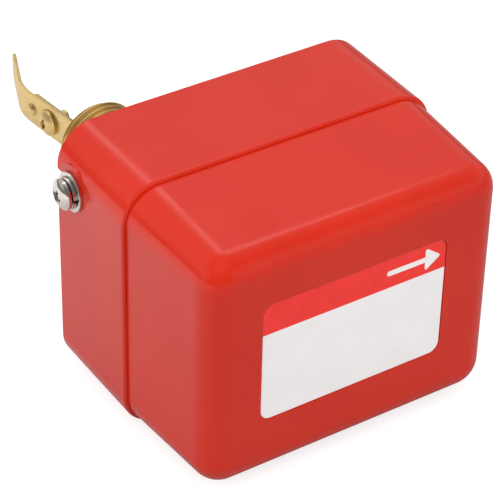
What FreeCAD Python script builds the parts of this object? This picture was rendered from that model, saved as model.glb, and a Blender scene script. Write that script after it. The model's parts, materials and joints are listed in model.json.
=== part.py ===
import FreeCAD
import Part
import math
import os
import re
import Sketcher

# Paddle flow switch: a drawn steel cover over a steel tray, a brass thread body with a
# bellows-sealed lever and paddle, and a snap switch worked by the lever's inner arm.
#
# Frame: origin on the thread axis at the shoulder where the pipe thread starts,
# +Y out of the nipple towards the pipe, +X the direction of flow, +Z up.
# Depths are counted from the shoulder towards -Y, into the housing.

SIZES = {
    # cover
    "skirt_width": 82.0,
    "skirt_height": 67.0,
    "skirt_length": 28.7,
    "skirt_corner": 9.5,
    "skirt_round": 0.7,
    "sheet_wall": 1.0,
    "joggle_step": 0.9,
    "front_length": 31.5,
    "front_draft": 3.3,
    "front_round": 6.2,
    "cover_shift": 10.7,
    "cover_overhang": 0.6,
    "recess_depth": 0.4,
    # label
    "label_width": 48.2,
    "label_height": 31.7,
    "label_corner": 2.6,
    "label_thickness": 0.2,
    "label_gap": 0.2,
    "label_shift": 0.6,
    "label_rise": 1.15,
    # cover screw and its seat
    "cover_screw_drop": 12.5,
    "cover_screw_inset": 6.75,
    "slot_width": 4.5,
    "seat_margin": 0.25,
    "cover_screw_radius": 2.0,
    "cover_screw_head_radius": 4.0,
    "cover_screw_head": 2.3,
    "spring_washer_radius": 3.9,
    "spring_washer_thickness": 1.1,
    "flat_washer_radius": 4.8,
    "flat_washer_thickness": 0.9,
    "washer_bore_gap": 0.15,
    "nut_radius": 4.0,
    "nut_length": 4.0,
    # tray
    "tray_clearance": 0.3,
    "tray_thickness": 1.5,
    "tray_wall": 1.2,
    "tray_depth": 12.0,
    "tray_edge": 1.0,
    # thread body
    "thread_radius": 10.48,
    "thread_length": 16.0,
    "thread_chamfer": 1.0,
    "hex_flats": 27.0,
    "hex_thickness": 12.0,
    "hex_chamfer": 1.4,
    "neck_radius": 12.0,
    "neck_length": 5.2,
    "flange_radius": 21.0,
    "flange_thickness": 3.0,
    "gasket_thickness": 0.8,
    "spigot_radius": 11.0,
    "spigot_gap": 0.2,
    "cavity_radius": 8.2,
    "cavity_floor": 10.0,
    "floor_thickness": 1.5,
    "floor_bore": 3.6,
    "dry_bore": 5.6,
    # screws that hold the thread body
    "bolt_circle": 16.0,
    "bolt_radius": 2.0,
    "bolt_head_radius": 3.8,
    "bolt_head": 2.6,
    "thread_gap": 0.05,
    "hole_gap": 0.25,
    # lever and its pivot
    "pivot_depth": 14.6,
    "pin_radius": 1.5,
    "pin_gap": 0.05,
    "pin_inset": 0.2,
    "rest_tilt": 6.75,
    "swing": 10.0,
    "lever_radius": 3.0,
    "lever_end_round": 0.8,
    "stem_radius": 2.5,
    "eye_radius": 4.2,
    "eye_height": 2.2,
    "tail_radius": 2.0,
    "tail_proud": 1.0,
    "collar_radius": 5.8,
    "collar_thickness": 2.0,
    # bellows
    "bellows_start": 5.4,
    "bellows_length": 9.9,
    "bellows_crest": 5.8,
    "bellows_root": 3.7,
    "bellows_wall": 0.45,
    "bellows_turns": 5,
    # paddle
    "blade_offset": 1.5,
    "blade_start": 28.9,
    "blade_straight": 52.9,
    "blade_thickness": 0.8,
    "blade_width": 8.4,
    "blade_bend_radius": 9.2,
    "blade_bend": 29.6,
    "blade_tip": 15.0,
    "blade_corner": 3.0,
    "tongue_end": 52.4,
    "tongue_thickness": 2.2,
    "paddle_screw_at": 42.8,
    "paddle_screw_radius": 1.5,
    "paddle_screw_head_radius": 3.4,
    "paddle_screw_head": 2.1,
    "paddle_screw_proud": 2.3,
    "rivet_at": 50.0,
    "rivet_radius": 1.0,
    "rivet_head_radius": 1.45,
    "rivet_head": 0.5,
    # lever arm inside the housing
    "arm_height": 15.4,
    "arm_thickness": 1.5,
    "arm_width": 8.0,
    "arm_reach": 27.0,
    "arm_back": 6.0,
    # snap switch
    "plunger_at": 7.0,
    "plunger_radius": 1.5,
    "plunger_proud": 2.4,
    "plunger_length": 6.5,
    "plunger_room": 1.6,
    "plunger_gap": 0.1,
    "rest_gap": 0.1,
    "switch_end_margin": 2.8,
    "switch_height": 15.9,
    "switch_thickness": 10.3,
    "switch_round": 1.0,
    "switch_lid": 1.2,
    "switch_lid_inset": 0.4,
    "plunger_offset": 6.0,
    "switch_hole_spacing": 22.2,
    "switch_hole_rise": 10.3,
    "switch_hole_inset": 2.8,
    "switch_screw_radius": 1.5,
    "switch_screw_head_radius": 2.8,
    "switch_screw_head": 2.0,
    "terminal_spacing": 9.2,
    "terminal_width": 6.3,
    "terminal_thickness": 0.8,
    "terminal_length": 9.0,
    "terminal_root": 2.0,
    "terminal_screw_radius": 1.6,
    "terminal_screw_head_radius": 2.9,
    "terminal_screw_head": 1.8,
    "terminal_screw_rise": 5.6,
    # bracket
    "bracket_thickness": 1.5,
    "bracket_height": 39.5,
    "bracket_left": 14.6,
    "bracket_right": 28.0,
    "bracket_foot": 12.4,
    "bracket_leaf": 13.0,
    "leaf_left": 16.0,
    "bracket_corner": 3.0,
    # range screw and spring
    "range_at": 22.0,
    "range_screw_radius": 2.0,
    "range_screw_end": 50.0,
    "range_screw_length": 19.0,
    "range_knob_radius": 4.2,
    "range_knob": 3.4,
    "range_seat_radius": 4.1,
    "range_seat_thickness": 1.5,
    "range_seat_pocket": 0.9,
    "range_stub_radius": 2.4,
    "range_stub": 2.2,
    "spring_radius": 3.2,
    "spring_wire": 0.45,
    "spring_turns": 6,
    "spring_end_gap": 0.35,
    # ground screw
    "ground_at": 36.0,
    "ground_margin": 10.5,
    "ground_radius": 2.0,
    "ground_head_radius": 3.9,
    "ground_head": 2.6,
    "ground_washer_radius": 4.6,
    "ground_washer": 0.8,
    # cable entry
    "cable_at": 36.0,
    "cable_drop": 21.5,
    "cable_hole": 9.0,
    "grommet_bore": 4.0,
    "grommet_lip": 1.9,
    "grommet_lip_thickness": 2.0,
    "grommet_gap": 0.05,
}

# Lengths that follow from the driving sizes.
DERIVED = {
    "flange_front": "hex_thickness + neck_length",
    "flange_back": "flange_front + flange_thickness",
    "plate_back": "flange_back + gasket_thickness",
    "plate_front": "plate_back + tray_thickness",
    "cover_back": "plate_back - cover_overhang",
    "cover_front": "cover_back + skirt_length + front_length",
    "tray_inset": "sheet_wall + tray_clearance",
    "tray_left": "cover_shift - skirt_width / 2 + tray_inset",
    "cover_left": "cover_shift - skirt_width / 2",
    "cover_screw_depth": "cover_back + cover_screw_inset",
    "seat_radius": "cover_screw_depth - cover_back - seat_margin",
    "cover_screw_height": "skirt_height / 2 - cover_screw_drop",
    "cable_rise": "skirt_height / 2 - cable_drop",
    "ground_drop": "skirt_height / 2 - ground_margin",
    "switch_length": "switch_hole_spacing + 2 * switch_end_margin",
    "hex_radius": "hex_flats / 2 / cos(30)",
    "pin_length": "2 * neck_radius - 2 * pin_inset",
    "tongue_face": "blade_thickness - blade_offset",
    "tongue_back": "tongue_face + tongue_thickness",
    "paddle_grip": "blade_thickness + tongue_thickness",
    "arm_surface": "arm_height / cos(rest_tilt) - plunger_at * tan(rest_tilt) + pivot_depth",
    "switch_front": "arm_surface + rest_gap + plunger_proud",
    "switch_back": "switch_front + switch_height",
    "switch_middle": "plunger_at - plunger_offset",
    "bracket_face": "switch_thickness / 2",
    "bracket_back": "bracket_face + bracket_thickness",
    "leaf_depth": "plate_front + bracket_height",
    "spring_foot": "arm_height / cos(rest_tilt) - (range_at - spring_radius - spring_wire)"
                   " * tan(rest_tilt) + pivot_depth",
    "spring_start": "spring_foot + spring_end_gap + spring_wire",
    "spring_end": "range_screw_end - range_seat_thickness - spring_wire - spring_end_gap / 4",
}

os.makedirs("parts", exist_ok=True)
doc = FreeCAD.newDocument("PaddleFlowSwitch")
sheet = doc.addObject("Spreadsheet::Sheet", "Sizes")
for row, (alias, number) in enumerate(SIZES.items(), start=1):
    sheet.set("A%d" % row, alias)
    sheet.set("B%d" % row, str(number))
    sheet.setAlias("B%d" % row, alias)
doc.recompute()


def full(text):
    """Spell an expression out in the sheet's own cells."""
    def cell(match):
        word = match.group(0)
        if word in DERIVED:
            return "(" + full(DERIVED[word]) + ")"
        if word in SIZES:
            return "Sizes." + word
        return word
    return re.sub(r"[a-z][a-z0-9_]*", cell, text)


def size(text):
    """The present value of an expression of named sizes."""
    return float(sheet.evalExpression(full(text)))


def bind(thing, prop, text):
    thing.setExpression(prop, full(text))


def vector(x, y, z="0"):
    return FreeCAD.Vector(size(x), size(y), size(z))


# Sub-parts and where they sit

def new_body(name):
    body = doc.addObject("PartDesign::Body", name)
    body.Label = name
    return body


def place(thing, x="0", y="0", z="0", axis=(0, 0, 1), angle="0"):
    turn = FreeCAD.Rotation(FreeCAD.Vector(*axis), size(angle))
    thing.Placement = FreeCAD.Placement(vector(x, y, z), turn)
    for name, text in (("x", x), ("y", y), ("z", z)):
        bind(thing, "Placement.Base." + name, text)
    if angle != "0":
        bind(thing, "Placement.Rotation.Angle", angle)


def ride(thing, along="0", across="0"):
    """Place a piece on the tilted lever, a distance along and across it from the pivot."""
    place(thing, "(%s) * cos(rest_tilt) - (%s) * sin(rest_tilt)" % (across, along),
          "(%s) * sin(rest_tilt) + (%s) * cos(rest_tilt) - pivot_depth" % (across, along),
          angle="rest_tilt")


# Sketches

def new_sketch(body, name, role, offset="0"):
    sketch = body.newObject("Sketcher::SketchObject", name)
    plane = next(item for item in body.Origin.OriginFeatures if item.Role == role)
    sketch.AttachmentSupport = [(plane, "")]
    sketch.MapMode = "FlatFace"
    if offset != "0":
        bind(sketch, "AttachmentOffset.Base.z", offset)
    return sketch


def fix_point(sketch, geometry, end, x, y):
    """Tie one end of a curve to named distances from the sketch's origin."""
    for kind, text in (("DistanceX", x), ("DistanceY", y)):
        index = sketch.addConstraint(
            Sketcher.Constraint(kind, -1, 1, geometry, end, size(text)))
        bind(sketch, "Constraints[%d]" % index, text)


HALF_TURN = "half turn"


def outline(sketch, points):
    """Closed outline of (x, y) points; a third item (radius, side) bends the next edge."""
    spots = [vector(point[0], point[1]) for point in points]
    starts = []
    for index, point in enumerate(points):
        here = spots[index]
        there = spots[(index + 1) % len(spots)]
        if len(point) == 2:
            edge = sketch.addGeometry(Part.LineSegment(here, there), False)
            starts.append((edge, 1, 2))
            continue
        radius, side = point[2]
        middle = (here + there) / 2
        chord = there - here
        sagitta = chord.Length / 2
        if radius != HALF_TURN:
            sagitta = size(radius) - math.sqrt(size(radius) ** 2 - sagitta ** 2)
        bulge = FreeCAD.Vector(chord.y, -chord.x, 0).normalize() * sagitta * side
        first, last = (here, there) if side > 0 else (there, here)
        edge = sketch.addGeometry(Part.Arc(first, middle + bulge, last), False)
        starts.append((edge, 1, 2) if side > 0 else (edge, 2, 1))
        if radius == HALF_TURN:
            sketch.addConstraint(Sketcher.Constraint("Symmetric", edge, 1, edge, 2, edge, 3))
            continue
        turn = sketch.addConstraint(Sketcher.Constraint("Radius", edge, size(radius)))
        bind(sketch, "Constraints[%d]" % turn, radius)
    for index, (edge, first, last) in enumerate(starts):
        following = starts[(index + 1) % len(starts)]
        sketch.addConstraint(
            Sketcher.Constraint("Coincident", edge, last, following[0], following[1]))
        fix_point(sketch, edge, first, points[index][0], points[index][1])


def circle(sketch, x, y, radius):
    edge = sketch.addGeometry(Part.Circle(vector(x, y), FreeCAD.Vector(0, 0, 1), size(radius)), False)
    fix_point(sketch, edge, 3, x, y)
    index = sketch.addConstraint(Sketcher.Constraint("Radius", edge, size(radius)))
    bind(sketch, "Constraints[%d]" % index, radius)


def rectangle(sketch, left, right, low, high):
    outline(sketch, [(left, low), (right, low), (right, high), (left, high)])


def rounded(sketch, x, y, width, height, radius):
    """Rectangle with round corners, centred on (x, y)."""
    left, right = "%s - (%s) / 2" % (x, width), "%s + (%s) / 2" % (x, width)
    low, high = "%s - (%s) / 2" % (y, height), "%s + (%s) / 2" % (y, height)
    bend = (radius, 1)
    outline(sketch, [
        ("%s + (%s)" % (left, radius), low),
        ("%s - (%s)" % (right, radius), low, bend),
        (right, "%s + (%s)" % (low, radius)),
        (right, "%s - (%s)" % (high, radius), bend),
        ("%s - (%s)" % (right, radius), high),
        ("%s + (%s)" % (left, radius), high, bend),
        (left, "%s - (%s)" % (high, radius)),
        (left, "%s + (%s)" % (low, radius), bend),
    ])


# Features

def pad(body, sketch, name, length, both=False, flip=False, taper=None):
    feature = body.newObject("PartDesign::Pad", name)
    feature.Profile = sketch
    bind(feature, "Length", length)
    feature.Midplane = both
    feature.Reversed = flip
    if taper:
        bind(feature, "TaperAngle", taper)
    doc.recompute()
    return feature


def pocket(body, sketch, name, length=None, both=False, flip=False, taper=None):
    """Cut a sketch out of the body and make sure that it removed something."""
    before = body.Shape.Volume
    feature = body.newObject("PartDesign::Pocket", name)
    feature.Profile = sketch
    if length is None:
        feature.Type = "ThroughAll"
    else:
        bind(feature, "Length", length)
    feature.Midplane = both
    feature.Reversed = flip
    if taper:
        bind(feature, "TaperAngle", taper)
    doc.recompute()
    if not body.Shape.Volume < before - 1e-3:
        raise RuntimeError("%s cuts nothing: %s" % (name, feature.State))
    return feature


def revolve(body, sketch, name, axis="V_Axis"):
    feature = body.newObject("PartDesign::Revolution", name)
    feature.Profile = sketch
    feature.ReferenceAxis = (sketch, [axis])
    feature.Angle = 360.0
    doc.recompute()
    return feature


def turned(name, points, axis="H_Axis"):
    """A lathe-turned piece: (axial, radius) points about X, or (radius, axial) about Y."""
    body = new_body(name)
    sketch = new_sketch(body, name + "_profile", "XY_Plane")
    outline(sketch, points)
    revolve(body, sketch, name + "_turned", axis)
    return body


def edges_where(feature, test):
    return ["Edge%d" % (index + 1) for index, edge in enumerate(feature.Shape.Edges)
            if test(edge)]


def fillet(body, feature, name, radius, test):
    chosen = edges_where(feature, test)
    if not chosen:
        raise RuntimeError(name + " found no edge")
    rounding = body.newObject("PartDesign::Fillet", name)
    rounding.Base = (feature, chosen)
    bind(rounding, "Radius", radius)
    doc.recompute()
    return rounding


def on_plane(edge, axis, where):
    """True when the whole edge lies on the plane axis = where."""
    low = getattr(edge.BoundBox, axis + "Min")
    high = getattr(edge.BoundBox, axis + "Max")
    return abs(low - where) < 1e-3 and abs(high - where) < 1e-3


# Cover

def cover_form(body, inset):
    """Skirt with its seat, joggle and drafted front, all lying an inset inside the outside."""
    skirt = new_sketch(body, body.Name + "_skirt_outline", "XZ_Plane", "cover_back")
    rounded(skirt, "cover_shift", "0", "skirt_width - 2 * " + inset,
            "skirt_height - 2 * " + inset, "skirt_corner - " + inset)
    pad(body, skirt, body.Name + "_skirt", "skirt_length - " + inset)

    seat = new_sketch(body, body.Name + "_seat_outline", "YZ_Plane", "cover_left + " + inset)
    circle(seat, "-cover_screw_depth", "cover_screw_height", "seat_radius - " + inset)
    pad(body, seat, body.Name + "_seat", "skirt_corner")

    front = new_sketch(body, body.Name + "_front_outline", "XZ_Plane",
                       "cover_back + skirt_length - " + inset)
    step = "(joggle_step + %s)" % inset
    rounded(front, "cover_shift", "0", "skirt_width - 2 * " + step,
            "skirt_height - 2 * " + step, "skirt_corner - " + step)
    block = pad(body, front, body.Name + "_front", "front_length", taper="-front_draft")
    face = -size("cover_front - " + inset)
    return fillet(body, block, body.Name + "_front_rounding", "front_round - " + inset,
                  lambda edge: on_plane(edge, "Y", face))


def cover():
    """Drawn steel cover: its outer form less its inner form, a slot and a label recess."""
    body = new_body("cover")
    shell = cover_form(body, "0")
    seam = -size("cover_back + skirt_length")
    left, right = size("cover_left"), size("cover_left + skirt_width")
    half = size("skirt_height / 2")

    def skirt_rim(edge):
        box = edge.BoundBox
        reach = max(-box.ZMin, box.ZMax) > half - 1e-3
        return on_plane(edge, "Y", seam) and (
            reach or box.XMin < left + 1e-3 or box.XMax > right - 1e-3)
    fillet(body, shell, "skirt_rounding", "skirt_round", skirt_rim)

    core = new_body("cover_core")
    cover_form(core, "sheet_wall")
    hollow = body.newObject("PartDesign::Boolean", "hollow")
    hollow.Type = "Cut"
    hollow.addObject(core)
    doc.recompute()

    slot = new_sketch(body, "screw_slot", "YZ_Plane", "cover_left - sheet_wall")
    depth, width = "-cover_screw_depth", "slot_width / 2"
    low, high = "cover_screw_height - " + width, "cover_screw_height + " + width
    outline(slot, [
        ("sheet_wall - cover_back", low),
        ("sheet_wall - cover_back", high),
        (depth, high, (HALF_TURN, 1)),
        (depth, low),
    ])
    pocket(body, slot, "slot", "3 * sheet_wall", flip=True)

    recess = new_sketch(body, "label_recess", "XZ_Plane", "cover_front")
    rounded(recess, "cover_shift - label_shift", "label_rise", "label_width + 2 * label_gap",
            "label_height + 2 * label_gap", "label_corner + label_gap")
    pocket(body, recess, "recess", "recess_depth")


def label_plate():
    body = new_body("label_plate")
    face = new_sketch(body, "label_outline", "XZ_Plane", "cover_front - recess_depth")
    rounded(face, "cover_shift - label_shift", "label_rise", "label_width", "label_height",
            "label_corner")
    pad(body, face, "label_sheet", "label_thickness")


# Cover screw, standing out along -X

def cover_screw():
    """Pan-head screw with its washers; it runs into the nut pressed into the tray."""
    stack = "(flat_washer_thickness + spring_washer_thickness)"
    reach = "(%s + tray_inset + tray_wall + nut_length)" % stack
    screw = turned("cover_screw", [
        ("0", "0"),
        ("0", "cover_screw_head_radius * 0.55"),
        ("cover_screw_head * 0.35", "cover_screw_head_radius"),
        ("cover_screw_head", "cover_screw_head_radius"),
        ("cover_screw_head", "cover_screw_radius"),
        ("cover_screw_head + %s - cover_screw_radius / 4" % reach, "cover_screw_radius"),
        ("cover_screw_head + " + reach, "cover_screw_radius * 0.75"),
        ("cover_screw_head + " + reach, "0"),
    ])
    place(screw, "cover_left - %s - cover_screw_head" % stack, "-cover_screw_depth",
          "cover_screw_height")
    washers = (("cover_flat_washer", "flat_washer_radius", "flat_washer_thickness",
                "flat_washer_thickness"),
               ("cover_spring_washer", "spring_washer_radius", "spring_washer_thickness", stack))
    for name, radius, thickness, back in washers:
        body = new_body(name)
        ring = new_sketch(body, name + "_ring", "YZ_Plane")
        circle(ring, "0", "0", radius)
        circle(ring, "0", "0", "cover_screw_radius + washer_bore_gap")
        pad(body, ring, name + "_disc", thickness)
        place(body, "cover_left - " + back, "-cover_screw_depth", "cover_screw_height")


# Tray

def base_tray():
    """Pressed tray that closes the cover: body hole, bolt holes, cable hole and nut boss."""
    body = new_body("base_tray")
    width = "(skirt_width - 2 * tray_inset)"
    height = "(skirt_height - 2 * tray_inset)"
    corner = "(skirt_corner - tray_inset)"
    floor = new_sketch(body, "tray_outline", "XZ_Plane", "plate_back")
    rounded(floor, "cover_shift", "0", width, height, corner)
    block = pad(body, floor, "tray_block", "tray_depth")
    outer = -size("plate_back")
    fillet(body, block, "tray_rounding", "tray_edge", lambda edge: on_plane(edge, "Y", outer))
    inside = new_sketch(body, "tray_inside", "XZ_Plane", "plate_front")
    rounded(inside, "cover_shift", "0", width + " - 2 * tray_wall", height + " - 2 * tray_wall",
            corner + " - tray_wall")
    pocket(body, inside, "tray_hollow", "tray_depth", flip=True)

    nut = new_sketch(body, "nut_outline", "YZ_Plane", "tray_left + tray_wall / 2")
    circle(nut, "-cover_screw_depth", "cover_screw_height", "nut_radius")
    pad(body, nut, "nut", "nut_length + tray_wall / 2")
    thread = new_sketch(body, "nut_thread", "YZ_Plane", "tray_left - tray_wall")
    circle(thread, "-cover_screw_depth", "cover_screw_height", "cover_screw_radius + thread_gap")
    pocket(body, thread, "nut_bore", "3 * tray_wall + nut_length", flip=True)

    holes = new_sketch(body, "tray_holes", "XZ_Plane", "plate_back")
    circle(holes, "0", "0", "spigot_radius + hole_gap")
    circle(holes, "cable_at", "cable_rise", "cable_hole")
    circle(holes, "ground_at", "-ground_drop", "ground_radius + thread_gap")
    bolt = "bolt_circle * cos(45)"
    for across in ("", "-"):
        for up in ("", "-"):
            circle(holes, across + bolt, up + bolt, "bolt_radius + hole_gap")
    pocket(body, holes, "tray_openings", "2 * tray_thickness", flip=True)


def body_gasket():
    body = new_body("body_gasket")
    ring = new_sketch(body, "gasket_outline", "XZ_Plane", "flange_back")
    circle(ring, "0", "0", "flange_radius")
    circle(ring, "0", "0", "spigot_radius + hole_gap")
    bolt = "bolt_circle * cos(45)"
    for across in ("", "-"):
        for up in ("", "-"):
            circle(ring, across + bolt, up + bolt, "bolt_radius + hole_gap")
    pad(body, ring, "gasket_sheet", "gasket_thickness")


def cable_grommet():
    """Rubber grommet snapped into the tray: two lips and a groove around the cable bore."""
    lip = "cable_hole + grommet_lip"
    body = turned("cable_grommet", [
        ("grommet_bore", "grommet_lip_thickness - plate_back"),
        ("cable_hole", "grommet_lip_thickness - plate_back"),
        (lip, "grommet_lip_thickness / 2 - plate_back"),
        (lip, "-plate_back"),
        ("cable_hole - grommet_gap", "-plate_back"),
        ("cable_hole - grommet_gap", "-plate_front"),
        (lip, "-plate_front"),
        (lip, "-plate_front - grommet_lip_thickness / 2"),
        ("cable_hole", "-plate_front - grommet_lip_thickness"),
        ("grommet_bore", "-plate_front - grommet_lip_thickness"),
    ], "V_Axis")
    place(body, "cable_at", "0", "cable_rise")


# Thread body

def thread_body():
    """Brass body turned in one piece with its nipple, hexagon, neck, flange and spigot."""
    body = new_body("thread_body")
    profile = new_sketch(body, "body_profile", "XY_Plane")
    outline(profile, [
        ("cavity_radius", "thread_length"),
        ("thread_radius - thread_chamfer", "thread_length"),
        ("thread_radius", "thread_length - thread_chamfer"),
        ("thread_radius", "0"),
        ("neck_radius", "0"),
        ("neck_radius", "-flange_front"),
        ("flange_radius", "-flange_front"),
        ("flange_radius", "-flange_back"),
        ("spigot_radius", "-flange_back"),
        ("spigot_radius", "spigot_gap - plate_front"),
        ("dry_bore", "spigot_gap - plate_front"),
        ("dry_bore", "-cavity_floor - floor_thickness"),
        ("floor_bore", "-cavity_floor - floor_thickness"),
        ("floor_bore", "-cavity_floor"),
        ("cavity_radius", "-cavity_floor"),
    ])
    revolve(body, profile, "turned_body")

    hexagon = new_sketch(body, "hexagon_outline", "XZ_Plane")
    corners = [("hex_radius * cos(%d)" % angle, "hex_radius * sin(%d)" % angle)
               for angle in range(0, 360, 60)]
    outline(hexagon, corners)
    circle(hexagon, "0", "0", "neck_radius - thread_chamfer")
    pad(body, hexagon, "hexagon", "hex_thickness")

    edges = new_sketch(body, "hexagon_edges", "XY_Plane")
    for face, inward in (("0", "-"), ("-hex_thickness", "+")):
        outline(edges, [
            ("hex_flats / 2", face),
            ("hex_flats / 2 + 2 * hex_chamfer", face),
            ("hex_flats / 2 + 2 * hex_chamfer", "%s %s hex_chamfer" % (face, inward)),
        ])
    groove = body.newObject("PartDesign::Groove", "hexagon_chamfer")
    groove.Profile = edges
    groove.ReferenceAxis = (edges, ["V_Axis"])
    groove.Angle = 360.0
    doc.recompute()

    cross = new_sketch(body, "pin_bore_outline", "XY_Plane")
    circle(cross, "0", "-pivot_depth", "pin_radius + pin_gap / 2")
    pocket(body, cross, "pin_bore", "4 * neck_radius", both=True)

    holes = new_sketch(body, "bolt_holes_outline", "XZ_Plane", "flange_front")
    bolt = "bolt_circle * cos(45)"
    for across in ("", "-"):
        for up in ("", "-"):
            circle(holes, across + bolt, up + bolt, "bolt_radius + thread_gap")
    pocket(body, holes, "bolt_holes", "2 * flange_thickness", flip=True)


def flange_screws():
    """Four screws from inside the tray; the lower two also hold the bracket's foot."""
    bolt = "bolt_circle * cos(45)"
    spots = (("1", "", "", "0"), ("2", "-", "", "0"),
             ("3", "", "-", "bracket_thickness"), ("4", "-", "-", "bracket_thickness"))
    for number, across, up, under in spots:
        grip = "(%s + tray_thickness + gasket_thickness + flange_thickness)" % under
        screw = turned("flange_screw_" + number, [
            ("0", "-bolt_head"),
            ("bolt_head_radius * 0.6", "-bolt_head"),
            ("bolt_head_radius", "-bolt_head * 0.6"),
            ("bolt_head_radius", "0"),
            ("bolt_radius", "0"),
            ("bolt_radius", grip + " - bolt_radius / 4"),
            ("bolt_radius * 0.75", grip),
            ("0", grip),
        ], "V_Axis")
        place(screw, across + bolt, "-plate_front - " + under, up + bolt)


# Lever, bellows and paddle, all on the axis of the lever

def pivot_pin():
    pin = doc.addObject("Part::Cylinder", "pivot_pin")
    pin.Label = "pivot_pin"
    bind(pin, "Radius", "pin_radius")
    bind(pin, "Height", "pin_length")
    place(pin, "0", "-pivot_depth", "-pin_length / 2")


def lever():
    """Turned brass lever: tail, pivot eye, stem, bellows collar, rod and flattened tongue."""
    body = new_body("lever")
    collar = "bellows_start + bellows_length"
    profile = new_sketch(body, "lever_profile", "XY_Plane")
    outline(profile, [
        ("0", "-arm_height - tail_proud"),
        ("tail_radius", "-arm_height - tail_proud"),
        ("tail_radius", "arm_thickness - arm_height"),
        ("lever_radius", "arm_thickness - arm_height"),
        ("lever_radius", "-eye_height"),
        ("eye_radius", "-eye_height"),
        ("eye_radius", "eye_height"),
        ("stem_radius", "eye_height"),
        ("stem_radius", collar),
        ("collar_radius", collar),
        ("collar_radius", collar + " + collar_thickness"),
        ("lever_radius", collar + " + collar_thickness"),
        ("lever_radius", "tongue_end - lever_end_round"),
        ("lever_radius - lever_end_round", "tongue_end"),
        ("0", "tongue_end"),
    ])
    revolve(body, profile, "turned_lever")

    eye = new_sketch(body, "eye_bore_outline", "XY_Plane")
    circle(eye, "0", "0", "pin_radius + pin_gap")
    pocket(body, eye, "eye_bore", "4 * eye_radius", both=True)

    flat = new_sketch(body, "tongue_flat", "XY_Plane")
    rectangle(flat, "-2 * lever_radius", "tongue_face", "blade_start", "tongue_end + lever_radius")
    rectangle(flat, "tongue_back", "2 * lever_radius", "blade_start + lever_radius",
              "tongue_end + lever_radius")
    pocket(body, flat, "tongue", "4 * lever_radius", both=True)

    holes = new_sketch(body, "tongue_holes", "YZ_Plane", "-lever_radius")
    circle(holes, "paddle_screw_at", "0", "paddle_screw_radius + thread_gap")
    circle(holes, "rivet_at", "0", "rivet_radius + thread_gap")
    pocket(body, holes, "tongue_bores", "3 * lever_radius", flip=True)
    ride(body)


def bellows():
    """Thin brass bellows, soldered to the collar and folded back to the floor of the body."""
    body = new_body("bellows")
    pitch = "(bellows_length - 2 * bellows_wall) / (2 * bellows_turns)"
    folds = 2 * int(size("bellows_turns"))
    outer, inner = [], []
    for fold in range(folds + 1):
        level = "bellows_start + bellows_wall + %d * %s" % (fold, pitch)
        radius = "bellows_crest" if fold % 2 else "bellows_root"
        outer.append((radius, level))
        inner.append((radius + " - bellows_wall", level))
    ends = ("bellows_start", "bellows_start + bellows_length")
    profile = new_sketch(body, "bellows_profile", "XY_Plane")
    outline(profile, [("bellows_root", ends[0])] + outer + [("bellows_root", ends[1]),
            ("bellows_root - bellows_wall", ends[1])] + inner[::-1]
            + [("bellows_root - bellows_wall", ends[0])])
    revolve(body, profile, "bellows_wall_turned")
    ride(body)


def paddle_blade():
    """Flat brass blade with round tip corners, bent downstream beyond the lever's tongue."""
    body = new_body("paddle_blade")
    near = "(blade_bend_radius + blade_thickness)"
    centre = near

    def bent(radius, run):
        across = "%s - %s * cos(blade_bend) + (%s) * sin(blade_bend)" % (centre, radius, run)
        along = "blade_straight + %s * sin(blade_bend) + (%s) * cos(blade_bend)" % (radius, run)
        return across, along
    side = new_sketch(body, "blade_side", "XY_Plane")
    outline(side, [
        ("0", "blade_start"),
        ("blade_thickness", "blade_start"),
        ("blade_thickness", "blade_straight", ("blade_bend_radius", -1)),
        bent("blade_bend_radius", "0"),
        bent("blade_bend_radius", "blade_tip"),
        bent(near, "blade_tip"),
        bent(near, "0") + ((near, 1),),
        ("0", "blade_straight"),
    ])
    strip = pad(body, side, "blade_strip", "blade_width", both=True)
    half = size("blade_width / 2")
    tip = size(bent(near, "blade_tip")[1])

    def tip_corner(edge):
        box = edge.BoundBox
        flat = box.ZLength < 1e-3 and abs(abs(box.ZMin) - half) < 1e-3
        return flat and box.YMax > tip - size("blade_thickness") and box.YLength < 1.0
    fillet(body, strip, "tip_corners", "blade_corner", tip_corner)

    holes = new_sketch(body, "blade_holes", "YZ_Plane", "-blade_thickness")
    circle(holes, "paddle_screw_at", "0", "paddle_screw_radius + hole_gap")
    circle(holes, "rivet_at", "0", "rivet_radius + thread_gap")
    pocket(body, holes, "blade_bores", "3 * blade_thickness", flip=True)
    ride(body, across="-blade_offset")


def paddle_fasteners():
    """Pan-head screw tapped through the tongue, and the locating rivet beyond it."""
    reach = "paddle_grip + paddle_screw_proud"
    screw = turned("paddle_screw", [
        ("-paddle_screw_head", "0"),
        ("-paddle_screw_head", "paddle_screw_head_radius * 0.5"),
        ("-paddle_screw_head * 0.6", "paddle_screw_head_radius"),
        ("0", "paddle_screw_head_radius"),
        ("0", "paddle_screw_radius"),
        (reach + " - paddle_screw_radius / 3", "paddle_screw_radius"),
        (reach, "paddle_screw_radius * 0.6"),
        (reach, "0"),
    ])
    ride(screw, "paddle_screw_at", "-blade_offset")
    rivet = turned("paddle_rivet", [
        ("-rivet_head", "0"),
        ("-rivet_head", "rivet_head_radius * 0.5"),
        ("-rivet_head * 0.4", "rivet_head_radius"),
        ("0", "rivet_head_radius"),
        ("0", "rivet_radius"),
        ("paddle_grip", "rivet_radius"),
        ("paddle_grip", "0"),
    ])
    ride(rivet, "rivet_at", "-blade_offset")


def switch_arm():
    """Steel arm swaged on the lever's tail: it lifts the plunger and carries the spring."""
    body = new_body("switch_arm")
    blank = new_sketch(body, "arm_blank", "XZ_Plane", "arm_height - arm_thickness")
    half = "arm_width / 2"
    outline(blank, [
        ("-arm_back", "-" + half),
        ("arm_reach - " + half, "-" + half, (HALF_TURN, 1)),
        ("arm_reach - " + half, half),
        ("-arm_back", half),
    ])
    circle(blank, "0", "0", "tail_radius + thread_gap")
    pad(body, blank, "arm_plate", "arm_thickness")
    ride(body)


# Snap switch on its bracket

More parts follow.
